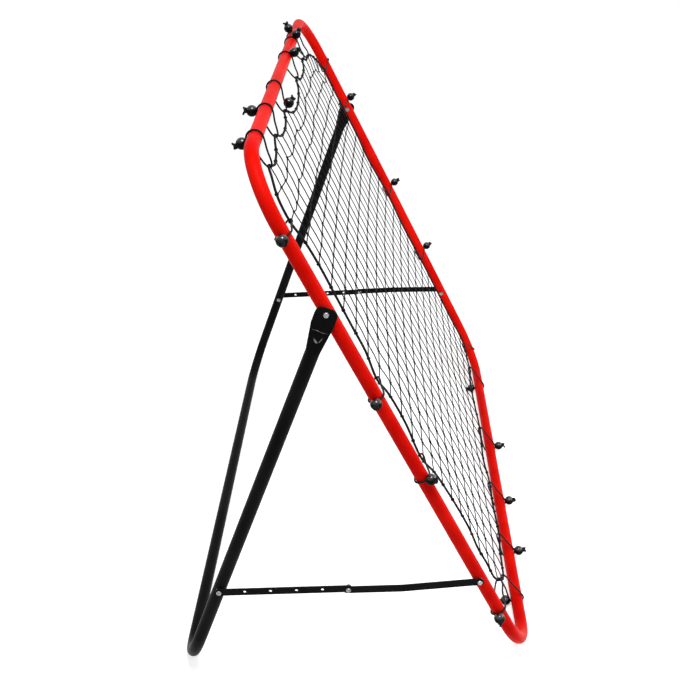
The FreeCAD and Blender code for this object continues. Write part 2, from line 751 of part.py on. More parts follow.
def seatedBall(turn, sense, inset):
    """A ball on its loop, notched over the cord that it is threaded on."""
    seat = size("ballSeat")
    small = size("ropeThickness") / math.sqrt(2) + size("cordGap") + cord + seat
    large = tubeRadius + size("cordGap") + cord + seat
    centre, facing = ballCentre(turn, sense)
    ball = Part.makeSphere(size("ballDiameter") / 2)
    ball.rotate(Vector(0, 0, 0), Vector(0, 0, 1), facing)
    ball.translate(centre)
    return ball.cut(stadium(small, large, inset, cord + 2 * seat))


def groupNode(label, shapes):
    """One node of separate solids."""
    group = doc.addObject("Part::Feature", label)
    group.Label = label
    group.Shape = Part.Compound(shapes)
    return group


def placed(shape, placement):
    moved = shape.copy()
    moved.Placement = placement.multiply(moved.Placement)
    return moved


def outwardPlacement(point, side, level):
    """Local +Z outwards, at a level past the frame tube's axis."""
    outward = across * side
    return frameOf(legUp.cross(outward), legUp, outward, point + outward * (frameHalf + level))


def inwardPlacement(point, side, level):
    """Local +Z towards the middle of the frame, at the same levels."""
    inward = across * -side
    return frameOf(legUp.cross(inward), legUp, inward, point - inward * (frameHalf + level))


def bothSides(shape, facing, point, level):
    """A copy of a fastener on each side, turned and moved by the given placement function."""
    return [placed(shape, facing(point, side, level)) for side in (-1, 1)]


def makeBolts(label, point, seat, end):
    """A bolt on each side, from its head's seat to past its nut."""
    bolt = makeBolt(label + "_pattern", seat - end)
    doc.recompute()
    return groupNode(label, bothSides(bolt.Shape, outwardPlacement, point, seat))


def groundTurn():
    """How far round the bottom tube a ball at the back sits when it just clears the floor."""
    away = tubeRadius + size("ballSeat") + size("ballDiameter") / 2
    drop = math.asin((size("ballDiameter") / 2 + size("ballSeat") - bottomHeight) / away)
    return -math.degrees(math.pi / 2 + drop + lean)


def makeBungees(name, loops, middle, along, inward, inset, pitch):
    """The loops and the balls of one frame tube, as two nodes."""
    bands = []
    balls = []
    for at, turn in loops:
        axis, run, pull, reach = middle, along, inward, inset
        if at == "corner":
            axis, run, pull, reach = cornerLoop(inward * -1)
        elif at == "below stay":
            axis += along * (frontStayBolt - middle).dot(along) - along * size("loopBelowStay")
        else:
            axis += along * (at * pitch)
        side = pull.cross(run)
        sense = 1 if side.dot(front) > 0 else -1
        place = frameOf(side, pull, run, axis)
        bands.append(placed(loopBand(reach), place))
        balls.append(placed(seatedBall(turn, sense, reach), place))
    return [groupNode(f"{name}_bungee_loops", bands), groupNode(f"{name}_bungee_balls", balls)]


def cornerLoop(outward):
    """The tube's axis half-way round a bottom bend, the way along it, the way to the net's corner
    and how far off the border is."""
    bend, ropeBend = size("frameBend"), size("ropeBend")
    pull = (up - outward) / math.sqrt(2)
    axis = bottom + outward * (frameHalf - bend) + up * bend - pull * bend
    ropeHalf = frameHalf - size("sideInset")
    held = bottom + outward * (ropeHalf - ropeBend) + up * (size("bottomInset") + ropeBend) - pull * ropeBend
    return axis, (up + outward) / math.sqrt(2), pull, (held - axis).dot(pull)


def makeNetRope():
    """The net's border, a closed square-section rope with rounded corners."""
    half = frameHalf - size("sideInset")
    low = size("bottomInset")
    high = size("frameLength") - size("topInset")
    bend = size("ropeBend")
    thick = size("ropeThickness")

    def outline(extra):
        x = half + extra
        bottomEdge = low - extra
        topEdge = high + extra
        turn = bend + extra
        cut = turn * (1 - math.sqrt(0.5))
        edges = []
        centres = [(x, topEdge), (-x, topEdge), (-x, bottomEdge), (x, bottomEdge)]
        signs = [(1, 1), (-1, 1), (-1, -1), (1, -1)]
        for index, ((cx, cy), (sx, sy)) in enumerate(zip(centres, signs)):
            first = Vector(cx, cy - sy * turn, 0)
            second = Vector(cx - sx * turn, cy, 0)
            if index % 2:
                first, second = second, first
            middle = Vector(cx - sx * cut, cy - sy * cut, 0)
            edges.append((first, middle, second))
        wire = []
        for index, (first, middle, second) in enumerate(edges):
            wire.append(Part.Arc(first, middle, second).toShape())
            wire.append(Part.makeLine(second, edges[(index + 1) % 4][0]))
        return Part.Face(Part.Wire(wire))

    ring = outline(thick / 2).cut(outline(-thick / 2)).Faces[0]
    ring.translate(Vector(0, 0, -thick / 2))
    rope = doc.addObject("Part::Feature", "net_border_rope")
    rope.Label = "net_border_rope"
    rope.Shape = ring.extrude(Vector(0, 0, thick))
    rope.Placement = frameOf(across, up, front, bottom)
    return rope


def makeNet():
    """The net: strands across laid over strands along, from border to border."""
    twine = size("twineThickness")
    half = frameHalf - size("sideInset") - size("ropeThickness") / 2
    low = size("bottomInset") + size("ropeThickness") / 2
    high = size("frameLength") - size("topInset") - size("ropeThickness") / 2
    columns = 2 * int(half / size("meshAcross"))
    rows = 2 * int((high - low) / 2 / size("meshAlong")) + 1
    strands = []
    for column in range(columns):
        x = (column - (columns - 1) / 2) * size("meshAcross")
        strands.append(Part.makeBox(twine, high - low, twine / 2, Vector(x - twine / 2, low, -twine / 2)))
    for row in range(rows):
        y = (low + high) / 2 + (row - (rows - 1) / 2) * size("meshAlong")
        strands.append(Part.makeBox(2 * half, twine, twine / 2, Vector(-half, y - twine / 2, 0)))
    net = doc.addObject("Part::Feature", "net")
    net.Label = "net"
    net.Shape = Part.Compound(strands)
    net.Placement = frameOf(across, up, front, bottom)
    return net


nodes = [
    makeUpperFrameTube(),
    makeLowerFrameTube(),
    makeRearFootTube(),
    makeLegTube("left_leg_tube", -1),
    makeLegTube("right_leg_tube", 1),
]
for side, sideName in ((-1, "left"), (1, "right")):
    nodes.append(makeRearStay(f"{sideName}_rear_stay", side))
    nodes.append(makeFrontStay(f"{sideName}_front_stay", side))

netMiddle = (size("frameLength") + size("bottomInset") - size("topInset")) / 2
topMiddle = bottom + up * size("frameLength")
sides = [
    ("top", topLoops, topMiddle, across, up * -1, size("topInset"), size("meshAcross")),
    ("bottom", bottomLoops, bottom, across, up, size("bottomInset"), size("meshAcross")),
    (
        "left",
        leftLoops,
        bottom + up * netMiddle - across * frameHalf,
        up,
        across,
        size("sideInset"),
        size("meshAlong"),
    ),
    (
        "right",
        rightLoops,
        bottom + up * netMiddle + across * frameHalf,
        up,
        across * -1,
        size("sideInset"),
        size("meshAlong"),
    ),
]
for name, loops, middle, along, inward, inset, pitch in sides:
    nodes += makeBungees(name, loops, middle, along, inward, inset, pitch)
nodes.append(makeNetRope())
nodes.append(makeNet())

# Fasteners: the pivot and front stay bolts stay with the frame, the rear ones with the leg.
flatLeg = 2 * size("tubeWall") + size("crushSlot")
tongueOut = seatOut + flatLeg + size("sidePlay")
frontHead = seatOut + size("stayThickness") + size("sidePlay")
rearHead = rearStayOut + size("stayThickness") + size("sidePlay")
insideFrame = -tubeRadius
insideLeg = legOutAtStay - tubeRadius - size("sidePlay")
pastNut = size("nutHeight") + size("threadEnd")
nodes.append(makeBolts("pivot_bolts", pivot, tongueOut, insideFrame - pastNut))
nodes.append(makeBolts("frame_stay_bolts", frontStayBolt, frontHead, insideFrame - pastNut))
nodes.append(makeBolts("leg_stay_bolts", rearStayBolt, rearHead, insideLeg - pastNut))
nut = makeNut()
washer = makeWasher()
doc.recompute()
for label, point, level in (
    ("pivot_nuts", pivot, insideFrame),
    ("frame_stay_nuts", frontStayBolt, insideFrame),
    ("leg_stay_nuts", rearStayBolt, insideLeg),
):
    nodes.append(groupNode(label, bothSides(nut.Shape, inwardPlacement, point, level)))
frameWashers = bothSides(washer.Shape, outwardPlacement, pivot, tubeRadius)
frameWashers += bothSides(washer.Shape, outwardPlacement, frontStayBolt, tubeRadius)
nodes.append(groupNode("frame_washers", frameWashers))
legSeat = legOutAtStay + tubeRadius + size("sidePlay") / 2
legWashers = bothSides(washer.Shape, outwardPlacement, rearStayBolt, legSeat)
nodes.append(groupNode("leg_washers", legWashers))

# At the middle the bolt's head half stays in the front stay and its nut half in the rear stay.
barThick = size("stayThickness")
headHalf = makeBolt("middle_bolt_pattern", barThick)
doc.recompute()
core = Part.makeCylinder(size("boltDiameter") / 2 + size("runningClearance"), size("nutHeight"))
stub = Part.makeCylinder(size("boltDiameter") / 2, barThick, Vector(0, 0, -barThick))
nutHalf = nut.Shape.fuse([core, stub]).removeSplitter()
for side, sideName in ((-1, "left"), (1, "right")):
    head = placed(headHalf.Shape, outwardPlacement(middleBolt, side, frontStayOut + barThick))
    nodes.append(groupNode(f"{sideName}_middle_bolt", [head]))
    stubbed = placed(nutHalf, inwardPlacement(middleBolt, side, rearStayOut))
    nodes.append(groupNode(f"{sideName}_middle_nut", [stubbed]))

doc.recompute()
for item in doc.Objects:
    if "Invalid" in item.State or "Error" in item.State:
        raise RuntimeError(f"{item.Label} failed: {item.State}")
for node in nodes:
    if node.Shape.isNull() or not node.Shape.isValid():
        raise RuntimeError(f"{node.Label} has no valid shape")
os.makedirs("parts", exist_ok=True)
for node in nodes:
    node.Shape.exportStep(f"parts/{node.Label}.step")
print(f"{len(nodes)} sub-parts written")
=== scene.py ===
# Looks for a pitch back rebounder: a leaning tube frame, its net on bungees, its folding leg.
import json
import math
import random

import bmesh
import bpy
from mathutils import Matrix, Vector


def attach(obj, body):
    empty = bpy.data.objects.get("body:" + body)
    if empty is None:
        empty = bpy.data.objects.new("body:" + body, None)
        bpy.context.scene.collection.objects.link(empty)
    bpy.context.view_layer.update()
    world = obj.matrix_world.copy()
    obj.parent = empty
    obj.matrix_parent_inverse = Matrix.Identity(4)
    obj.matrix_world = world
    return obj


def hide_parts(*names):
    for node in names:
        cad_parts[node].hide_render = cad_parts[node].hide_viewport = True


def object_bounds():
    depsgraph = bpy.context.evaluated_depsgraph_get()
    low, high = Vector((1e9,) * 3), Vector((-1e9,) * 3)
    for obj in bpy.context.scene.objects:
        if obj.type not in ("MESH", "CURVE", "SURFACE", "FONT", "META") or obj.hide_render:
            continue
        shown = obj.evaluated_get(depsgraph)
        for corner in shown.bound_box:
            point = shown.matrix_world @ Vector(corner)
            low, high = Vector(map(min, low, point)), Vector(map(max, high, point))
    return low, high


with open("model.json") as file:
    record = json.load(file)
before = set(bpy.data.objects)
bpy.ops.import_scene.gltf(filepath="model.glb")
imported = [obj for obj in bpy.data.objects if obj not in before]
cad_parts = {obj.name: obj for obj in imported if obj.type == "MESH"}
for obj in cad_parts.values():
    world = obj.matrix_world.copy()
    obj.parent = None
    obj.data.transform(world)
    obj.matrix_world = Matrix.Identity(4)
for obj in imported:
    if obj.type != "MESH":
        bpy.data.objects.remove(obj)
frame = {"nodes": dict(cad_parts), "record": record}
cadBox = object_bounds()
record = frame["record"]
rng = random.Random(7)

cameraSpec = {
    "place": Vector((0.11807, -2.07395, 1.50447)),
    "right": Vector((0.99713, 0.03339, -0.06796)),
    "down": Vector((-0.04458, -0.46673, -0.88328)),
    "forward": Vector((-0.06121, 0.88377, -0.46390)),
    "lens": 52.586,
    "sensor": 36,
    "clipEnd": 60,
}


def makeCamera(spec):
    data = bpy.data.cameras.new("studioCamera")
    data.lens = spec["lens"]
    data.sensor_width = spec["sensor"]
    data.clip_end = spec["clipEnd"]
    camera = bpy.data.objects.new("studioCamera", data)
    turn = Matrix((spec["right"], -spec["down"], -spec["forward"])).transposed().to_4x4()
    camera.matrix_world = Matrix.Translation(spec["place"]) @ turn
    bpy.context.scene.collection.objects.link(camera)
    bpy.context.scene.camera = camera


makeCamera(cameraSpec)
print("camera placed")

# The net's plane: y across the frame, s up it from its bottom tube, n out of its front.
frameSpec = {
    "lean": math.radians(23.3), "pivotReach": 0.855, "halfWidth": 0.63, "length": 1.125,
    "tubeRadius": 0.0125, "bend": 0.112,
}
lean = frameSpec["lean"]
frameUp = Vector((-math.sin(lean), 0, math.cos(lean)))
frameFront = Vector((math.cos(lean), 0, math.sin(lean)))
frameAcross = Vector((0, 1, 0))
joints = {joint["name"]: joint for joint in record["behaviour"]["joints"]}
pivotPlace = Vector(joints["leg_fold"]["pos_m"])
bottomMiddle = pivotPlace - frameUp * frameSpec["pivotReach"]


def onNet(y, s, n=0.0):
    return bottomMiddle + frameAcross * y + frameUp * s + frameFront * n


def smoothLine(points, step, closed=False):
    # a smooth line through the points, with a point about every step
    count = len(points)

    def at(index):
        return points[index % count] if closed else points[min(max(index, 0), count - 1)]

    def slope(index):
        before, here, after = at(index - 1), at(index), at(index + 1)
        back, ahead = (here - before).length, (after - here).length
        if back == 0 or ahead == 0:
            return (after - before) / max(back + ahead, 1e-9)
        return ((here - before) / back * ahead + (after - here) / ahead * back) / (back + ahead)

    line = []
    for index in range(count if closed else count - 1):
        here, after = at(index), at(index + 1)
        length = (after - here).length
        leave, arrive = slope(index) * length, slope(index + 1) * length
        pieces = max(1, round(length / step))
        for piece in range(pieces):
            u = piece / pieces
            line.append(
                here * (2 * u**3 - 3 * u**2 + 1)
                + leave * (u**3 - 2 * u**2 + u)
                + after * (3 * u**2 - 2 * u**3)
                + arrive * (u**3 - u**2)
            )
    if not closed:
        line.append(points[-1].copy())
    return line


def addTube(mesh, line, radius, sides, closed=False, capped=True):
    # a round tube along the line; its UV runs once round and, along, in diameters
    uv = mesh.loops.layers.uv.verify()
    count = len(line)
    tangents = []
    for index in range(count):
        if closed:
            tangent = line[(index + 1) % count] - line[index - 1]
        else:
            tangent = line[min(index + 1, count - 1)] - line[max(index - 1, 0)]
        tangents.append(tangent.normalized())
    normal = tangents[0].orthogonal().normalized()
    normals = [normal]
    for index in range(1, count):
        turn = tangents[index - 1].rotation_difference(tangents[index])
        normal = turn @ normal
        normals.append((normal - tangents[index] * normal.dot(tangents[index])).normalized())
    slip = 0.0
    if closed:  # share the leftover twist out along the loop
        back = tangents[-1].rotation_difference(tangents[0]) @ normals[-1]
        slip = math.atan2(tangents[0].dot(back.cross(normals[0])), back.dot(normals[0]))
    rings = []
    travel = [0.0]
    for index in range(1, count + 1):
        travel.append(travel[-1] + (line[index % count] - line[index - 1]).length)
    for index in range(count):
        first = Matrix.Rotation(slip * index / count, 3, tangents[index]) @ normals[index]
        second = tangents[index].cross(first)
        ring = []
        for side in range(sides):
            angle = 2 * math.pi * side / sides
            spoke = first * math.cos(angle) + second * math.sin(angle)
            ring.append(mesh.verts.new(line[index] + spoke * radius))
        rings.append(ring)
    for index in range(count if closed else count - 1):
        ring, after = rings[index], rings[(index + 1) % count]
        for side in range(sides):
            other = (side + 1) % sides
            face = mesh.faces.new((ring[side], ring[other], after[other], after[side]))
            face.smooth = True
            low, high = travel[index] / (2 * radius), travel[index + 1] / (2 * radius)
            corners = ((side, low), (side + 1, low), (side + 1, high), (side, high))
            for loop, at in zip(face.loops, corners):
                loop[uv].uv = (at[0] / sides, at[1])
    if closed:
        return
    ends = ((rings[0], line[0], -tangents[0], -1), (rings[-1], line[-1], tangents[-1], 1))
    for ring, tip, tangent, order in ends:
        bulge = radius / 2 if capped else 0.0
        point = mesh.verts.new(tip + tangent * bulge)
        for side in range(sides):
            pair = (ring[side], ring[(side + 1) % sides])[::order]
            face = mesh.faces.new((*pair, point))
            face.smooth = capped


def addRevolve(mesh, base, axis, profile, sides):
    # a closed round form from (radius, height) pairs that start and end on the axis
    side = axis.orthogonal().normalized()
    across = axis.cross(side)
    rings = []
    for radius, height in profile:
        if radius < 1e-7:
            rings.append([mesh.verts.new(base + axis * height)])
            continue
        ring = []
        for index in range(sides):
            angle = 2 * math.pi * index / sides
            spoke = side * math.cos(angle) + across * math.sin(angle)
            ring.append(mesh.verts.new(base + axis * height + spoke * radius))
        rings.append(ring)
    for low, high in zip(rings, rings[1:]):
        for index in range(sides):
            other = (index + 1) % sides
            if len(low) == 1:
                face = mesh.faces.new((low[0], high[other], high[index]))
            elif len(high) == 1:
                face = mesh.faces.new((low[index], low[other], high[0]))
            else:
                face = mesh.faces.new((low[index], low[other], high[other], high[index]))
            face.smooth = True


def finishPiece(name, mesh, material, slot, body, *nodes):
    bmesh.ops.recalc_face_normals(mesh, faces=mesh.faces)
    data = bpy.data.meshes.new(name)
    mesh.to_mesh(data)
    mesh.free()
    data.materials.append(material)
    piece = bpy.data.objects.new(name, data)
    bpy.context.scene.collection.objects.link(piece)
    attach(piece, body)
    if nodes:
        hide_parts(*nodes)


wearSpec = {
    "streakStretch": (1.0, 5.0, 0.6), "streakEdge": 0.72, "streakFade": 0.08,
    "edgeBend": (0.97, 0.75), "edgeBreak": (0.45, 0.65),
    "fuzzScale": 1500.0,
}


def newGroup(name, inputs, outputs):
    group = bpy.data.node_groups.new(name, "ShaderNodeTree")
    for label, kind, value in inputs:
        socket = group.interface.new_socket(name=label, in_out="INPUT", socket_type=kind)
        socket.default_value = value
    for label, kind in outputs:
        group.interface.new_socket(name=label, in_out="OUTPUT", socket_type=kind)
    start = group.nodes.new("NodeGroupInput")
    end = group.nodes.new("NodeGroupOutput")
    return group, start, end


def addNode(tree, kind, settings=None, **inputs):
    # a node with its settings, and its inputs set to values or linked to sockets
    node = tree.nodes.new(kind)
    for key, value in (settings or {}).items():
        setattr(node, key, value)
    for label, value in inputs.items():
        numbered = label[0] == "i" and label[1:].isdigit()
        socket = node.inputs[int(label[1:]) if numbered else label.replace("_", " ")]
        if isinstance(value, bpy.types.NodeSocket):
            tree.links.new(value, socket)
        else:
            socket.default_value = value
    return node


def calculate(tree, operation, first, second=0.0):
    node = addNode(tree, "ShaderNodeMath", {"operation": operation}, i0=first, i1=second)
    return node.outputs[0]


def rescale(tree, value, low, high, newLow=0.0, newHigh=1.0):
    node = addNode(tree, "ShaderNodeMapRange", i0=value, i1=low, i2=high, i3=newLow, i4=newHigh)
    return node.outputs["Result"]


def makeGrainGroup():
    # the orange peel of a baked coat, and slow patches in its tone
    group, start, end = newGroup(
        "coatGrain",
        [("Peel Scale", "NodeSocketFloat", 700.0), ("Patch Scale", "NodeSocketFloat", 14.0)],
        [("Height", "NodeSocketFloat"), ("Patches", "NodeSocketFloat")],
    )
    place = addNode(group, "ShaderNodeTexCoord").outputs["Object"]
    fine, coarse = start.outputs["Peel Scale"], start.outputs["Patch Scale"]
    peel = addNode(group, "ShaderNodeTexNoise", Vector=place, Scale=fine, Detail=2.0)
    patches = addNode(group, "ShaderNodeTexNoise", Vector=place, Scale=coarse, Detail=4.0)
    group.links.new(peel.outputs["Fac"], end.inputs["Height"])
    group.links.new(patches.outputs["Fac"], end.inputs["Patches"])
    return group


def makeScuffGroup():
    # short rubbed streaks
    group, start, end = newGroup(
        "scuffs",
        [("Streak Scale", "NodeSocketFloat", 60.0), ("Amount", "NodeSocketFloat", 0.1)],
        [("Scuffs", "NodeSocketFloat")],
    )
    place = addNode(group, "ShaderNodeTexCoord").outputs["Object"]
    along = wearSpec["streakStretch"]
    stretch = addNode(group, "ShaderNodeMapping", Vector=place, Scale=along)
    streaks = addNode(
        group, "ShaderNodeTexNoise",
        Vector=stretch.outputs["Vector"], Scale=start.outputs["Streak Scale"], Detail=6.0,
    )
    edge = calculate(group, "SUBTRACT", wearSpec["streakEdge"], start.outputs["Amount"])
    top = calculate(group, "ADD", edge, wearSpec["streakFade"])
    scuffs = rescale(group, streaks.outputs["Fac"], edge, top)
    group.links.new(scuffs, end.inputs["Scuffs"])
    return group


def makeWearGroup():
    # a mask of the outer edges, where a coat is rubbed thin
    group, start, end = newGroup(
        "edgeWear",
        [("Width", "NodeSocketFloat", 0.0008), ("Break Scale", "NodeSocketFloat", 90.0)],
        [("Mask", "NodeSocketFloat")],
    )
    width = start.outputs["Width"]
    soft = addNode(group, "ShaderNodeBevel", {"samples": 4}, Radius=width).outputs["Normal"]
    sharp = addNode(group, "ShaderNodeNewGeometry").outputs["Normal"]
    match = addNode(group, "ShaderNodeVectorMath", {"operation": "DOT_PRODUCT"}, i0=soft, i1=sharp)
    bend = rescale(group, match.outputs["Value"], *wearSpec["edgeBend"])
    place = addNode(group, "ShaderNodeTexCoord").outputs["Object"]
    mottle = start.outputs["Break Scale"]
    breakUp = addNode(group, "ShaderNodeTexNoise", Vector=place, Scale=mottle, Detail=4.0)
    parts = rescale(group, breakUp.outputs["Fac"], *wearSpec["edgeBreak"])
    mask = calculate(group, "MULTIPLY", bend, parts)
    group.links.new(mask, end.inputs["Mask"])
    return group


def makeCordGroup():
    # strands round a cord from its UV: laid one way, or braided both ways
    group, start, end = newGroup(
        "cordLay",
        [
            ("Strands", "NodeSocketFloat", 4.0),
            ("Pitch", "NodeSocketFloat", 1.0),
            ("Braid", "NodeSocketFloat", 1.0),
        ],
        [("Height", "NodeSocketFloat"), ("Fuzz", "NodeSocketFloat")],
    )
    uv = addNode(group, "ShaderNodeUVMap").outputs["UV"]
    parts = addNode(group, "ShaderNodeSeparateXYZ", Vector=uv)
    around = calculate(group, "MULTIPLY", parts.outputs["X"], start.outputs["Strands"])
    along = calculate(group, "MULTIPLY", parts.outputs["Y"], start.outputs["Pitch"])

    def wave(way):
        angle = calculate(group, "MULTIPLY", calculate(group, way, around, along), 2 * math.pi)
        return calculate(group, "SINE", angle)

    laid = wave("ADD")
    crossed = calculate(group, "MULTIPLY", laid, wave("SUBTRACT"))
    braid = start.outputs["Braid"]
    pick = addNode(group, "ShaderNodeMix", {"data_type": "FLOAT"}, i0=braid, i2=laid, i3=crossed)
    place = addNode(group, "ShaderNodeTexCoord").outputs["Object"]
    fuzz = addNode(group, "ShaderNodeTexNoise", Vector=place, Scale=wearSpec["fuzzScale"])
    group.links.new(pick.outputs[0], end.inputs["Height"])
    group.links.new(fuzz.outputs["Fac"], end.inputs["Fuzz"])
    return group


coatGrain = makeGrainGroup()
rubbedStreaks = makeScuffGroup()
edgeWear = makeWearGroup()
cordLay = makeCordGroup()
print("shader groups built")

coatSpec = {
    "red": {
        "low": (0.70, 0.003, 0.001, 1), "high": (0.86, 0.008, 0.003, 1),
        "rough": 0.4, "shine": 0.022, "peel": 0.05,
    },
    "black": {
        "low": (0.0022, 0.0022, 0.0025, 1), "high": (0.006, 0.006, 0.0065, 1),
        "rough": 0.42, "shine": 0.035, "peel": 0.12,
    },
    "bare": (0.35, 0.34, 0.33, 1),
    "patches": (0.35, 0.65), "streaks": {"Streak_Scale": 45.0, "Amount": 0.05}, "scuffed": 0.2,
    "depth": 0.00012,
}
zincSpec = {
    "low": (0.20, 0.20, 0.20, 1), "high": (0.42, 0.42, 0.41, 1), "rough": 0.2, "dulled": 0.15,
    "grain": {"Peel_Scale": 900.0, "Patch_Scale": 120.0}, "patches": (0.35, 0.65),
    "brush": 0.1, "depth": 0.0001,
}
cordSpec = {
    "twine": {
        "low": (0.003, 0.003, 0.003, 1), "high": (0.022, 0.022, 0.024, 1),
        "strands": 3.0, "pitch": 0.5, "braid": 0.0, "rough": 0.55, "shine": 0.06,
    },
    "rope": {
        "low": (0.003, 0.003, 0.003, 1), "high": (0.026, 0.026, 0.027, 1),
        "strands": 6.0, "pitch": 1.1, "braid": 1.0, "rough": 0.6, "shine": 0.08,
    },
    "elastic": {
        "low": (0.003, 0.003, 0.003, 1), "high": (0.028, 0.028, 0.030, 1),
        "strands": 7.0, "pitch": 1.3, "braid": 1.0, "rough": 0.45, "shine": 0.1,
    },
    "dulled": 0.2, "bump": 0.6, "depth": 0.0004,
}
ballSpec = {
    "low": (0.002, 0.002, 0.002, 1), "high": (0.005, 0.005, 0.006, 1),
    "grain": {"Peel_Scale": 400.0, "Patch_Scale": 60.0},
    "streaks": {"Streak_Scale": 120.0, "Amount": 0.08}, "scuffed": 0.2,
    "rough": 0.3, "shine": 0.03, "bump": 0.05, "depth": 0.0001,
    # painted sheen: a clear coat on the upward-facing side that stands in for the overhead light's
    # highlight
    "paintedSheenRough": 0.07, "paintedSheenIor": 1.65, "paintedSheenFacing": (0.3, 0.7),  # from and to this upward normal
}
creaseHighlightSpec = {
    "low": (0.06, 0.06, 0.06, 1), "high": (0.30, 0.28, 0.27, 1), "rough": 0.35, "shine": 0.3,
    "grain": {"Peel_Scale": 500.0, "Patch_Scale": 160.0}, "patches": (0.42, 0.6),
    "bump": 0.1, "depth": 0.0001,
}


def newMaterial(name):
    material = bpy.data.materials.new(name)
    material.use_nodes = True
    tree = material.node_tree
    return material, tree, tree.nodes["Principled BSDF"]


def useGroup(tree, group, **values):
    node = tree.nodes.new("ShaderNodeGroup")
    node.node_tree = group
    for label, value in values.items():
        node.inputs[label.replace("_", " ")].default_value = value
    return node


def blendColours(tree, mask, low, high):
    mix = addNode(tree, "ShaderNodeMix", {"data_type": "RGBA"}, i0=mask)
    for socket, value in ((mix.inputs[6], low), (mix.inputs[7], high)):
        if isinstance(value, bpy.types.NodeSocket):
            tree.links.new(value, socket)
        else:
            socket.default_value = value
    return mix.outputs[2]


def addBump(tree, shader, strength, depth, height):
    bump = addNode(tree, "ShaderNodeBump", Strength=strength, Distance=depth, Height=height)
    tree.links.new(bump.outputs["Normal"], shader.inputs["Normal"])


def makeCoat(name, spec, common, wear):
    material, tree, shader = newMaterial(name)
    grain = useGroup(tree, coatGrain)
    marks = useGroup(tree, rubbedStreaks, **common["streaks"])
    tone = rescale(tree, grain.outputs["Patches"], *common["patches"])
    colour = blendColours(tree, tone, spec["low"], spec["high"])
    if wear:
        edges = useGroup(tree, edgeWear)
        faint = rescale(tree, edges.outputs["Mask"], 0.0, 1.0, 0.0, wear)
        colour = blendColours(tree, faint, colour, common["bare"])
    tree.links.new(colour, shader.inputs["Base Color"])
    scuffedRough = spec["rough"] + common["scuffed"]
    rough = rescale(tree, marks.outputs["Scuffs"], 0.0, 1.0, spec["rough"], scuffedRough)
    tree.links.new(rough, shader.inputs["Roughness"])
    addBump(tree, shader, spec["peel"], common["depth"], grain.outputs["Height"])
    shader.inputs["Specular IOR Level"].default_value = spec["shine"]
    return material


def makeZinc(spec):
    material, tree, shader = newMaterial("brightZinc")
    grain = useGroup(tree, coatGrain, **spec["grain"])
    tone = rescale(tree, grain.outputs["Patches"], *spec["patches"])
    tree.links.new(blendColours(tree, tone, spec["low"], spec["high"]), shader.inputs["Base Color"])
    rough = rescale(tree, tone, 0.0, 1.0, spec["rough"] + spec["dulled"], spec["rough"])
    tree.links.new(rough, shader.inputs["Roughness"])
    addBump(tree, shader, spec["brush"], spec["depth"], grain.outputs["Height"])
    shader.inputs["Metallic"].default_value = 1.0
    return material


def makeCordMaterial(name, spec, common):
    material, tree, shader = newMaterial(name)
    strands, pitch, braid = spec["strands"], spec["pitch"], spec["braid"]
    lay = useGroup(tree, cordLay, Strands=strands, Pitch=pitch, Braid=braid)
    high = rescale(tree, lay.outputs["Height"], -1.0, 1.0)
    # painted shade: the base colour is darker in the grooves between strands and lighter on their
    # crests, broken up by the fuzz noise
    both = calculate(tree, "MULTIPLY", high, lay.outputs["Fuzz"])
    tree.links.new(blendColours(tree, both, spec["low"], spec["high"]), shader.inputs["Base Color"])
    rough = rescale(tree, high, 0.0, 1.0, spec["rough"] + common["dulled"], spec["rough"])
    tree.links.new(rough, shader.inputs["Roughness"])
    addBump(tree, shader, common["bump"], common["depth"], high)
    shader.inputs["Specular IOR Level"].default_value = spec["shine"]
    return material


def makeBallMaterial(spec):
    material, tree, shader = newMaterial("blackMoulding")
    grain = useGroup(tree, coatGrain, **spec["grain"])
    marks = useGroup(tree, rubbedStreaks, **spec["streaks"])
    colour = blendColours(tree, grain.outputs["Patches"], spec["low"], spec["high"])
    tree.links.new(colour, shader.inputs["Base Color"])
    scuffedRough = spec["rough"] + spec["scuffed"]
    rough = rescale(tree, marks.outputs["Scuffs"], 0.0, 1.0, spec["rough"], scuffedRough)
    tree.links.new(rough, shader.inputs["Roughness"])
    addBump(tree, shader, spec["bump"], spec["depth"], grain.outputs["Height"])
    # painted sheen: the clear coat grows with the upward normal, so the tops reflect more and read
    # as lit from above while the undersides stay dull
    normal = tree.nodes.new("ShaderNodeNewGeometry").outputs["Normal"]
    facing = addNode(tree, "ShaderNodeSeparateXYZ", i0=normal).outputs["Z"]
    tree.links.new(rescale(tree, facing, *spec["paintedSheenFacing"]), shader.inputs["Coat Weight"])
    shader.inputs["Coat Roughness"].default_value = spec["paintedSheenRough"]
    shader.inputs["Coat IOR"].default_value = spec["paintedSheenIor"]
    shader.inputs["Specular IOR Level"].default_value = spec["shine"]
    return material


def makeCreaseHighlightMaterial(spec):
    # painted highlight: grey marks on the black coat that stand in for the light caught by the
    # crease and the hollow of the crushed leg end
    material, tree, shader = newMaterial("paintedCreaseHighlight")
    grain = useGroup(tree, coatGrain, **spec["grain"])
    tone = rescale(tree, grain.outputs["Patches"], *spec["patches"])
    tree.links.new(blendColours(tree, tone, spec["low"], spec["high"]), shader.inputs["Base Color"])
    addBump(tree, shader, spec["bump"], spec["depth"], grain.outputs["Height"])
    shader.inputs["Roughness"].default_value = spec["rough"]
    shader.inputs["Specular IOR Level"].default_value = spec["shine"]
    return material


redCoat = makeCoat("redPowderCoat", coatSpec["red"], coatSpec, 0.0)
blackCoat = makeCoat("blackPowderCoat", coatSpec["black"], coatSpec, 0.35)
brightZinc = makeZinc(zincSpec)
netTwine = makeCordMaterial("netTwine", cordSpec["twine"], cordSpec)
borderBraid = makeCordMaterial("borderBraid", cordSpec["rope"], cordSpec)
elasticBraid = makeCordMaterial("elasticBraid", cordSpec["elastic"], cordSpec)
blackBall = makeBallMaterial(ballSpec)
paintedCreaseHighlight = makeCreaseHighlightMaterial(creaseHighlightSpec)

